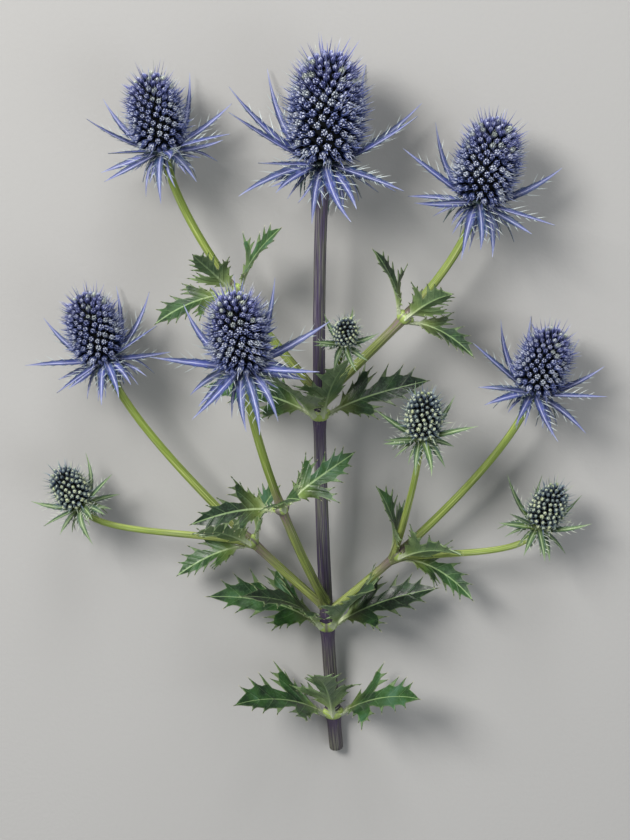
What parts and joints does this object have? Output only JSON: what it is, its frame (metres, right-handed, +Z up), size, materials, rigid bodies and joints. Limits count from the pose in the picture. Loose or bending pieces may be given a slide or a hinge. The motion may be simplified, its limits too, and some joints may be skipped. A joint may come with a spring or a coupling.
{
  "type": "sea holly stem",
  "caption": "Cut branching sea holly stem lying down, with spiny toothed leaves and egg-shaped blue heads, each over a ruff of narrow bracts.",
  "frame": {"origin": "on the surface that the stem lies on, under the middle of its bounding box", "axes": "+Y from the cut end to the top head, +Z up from the surface, +X to the right as seen from above"},
  "size_m": [0.2046, 0.2608, 0.0872],
  "materials": {
    "main_stem": "satin",
    "branch": "satin",
    "leaf": "satin",
    "ruff": "satin",
    "young_ruff": "satin",
    "head": "matte",
    "young_head": "matte"
  },
  "bodies": {
    "root": {"main_stem": "main_stem", "branch_upper_right": "branch", "branch_upper_left": "branch", "branch_lower_left": "branch", "branch_lower_right": "branch", "branch_front": "branch", "branch_young_left": "branch", "branch_young_right": "branch", "branch_young_outer": "branch", "branch_bud": "branch", "head_top": "head", "ruff_top": "ruff", "head_upper_right": "head", "ruff_upper_right": "ruff", "head_upper_left": "head", "ruff_upper_left": "ruff", "head_lower_left": "head", "ruff_lower_left": "ruff", "head_lower_right": "head", "ruff_lower_right": "ruff", "head_front": "head", "ruff_front": "ruff", "head_young_left": "young_head", "ruff_young_left": "young_ruff", "head_young_right": "young_head", "ruff_young_right": "young_ruff", "head_young_outer": "young_head", "ruff_young_outer": "young_ruff", "head_bud": "young_head", "ruff_bud": "young_ruff", "whorl_upper": "leaf", "whorl_lower": "leaf", "whorl_base": "leaf", "whorl_upper_right": "leaf", "whorl_upper_left": "leaf", "whorl_lower_left": "leaf", "whorl_lower_right": "leaf", "whorl_front": "leaf"}
  },
  "joints": []
}
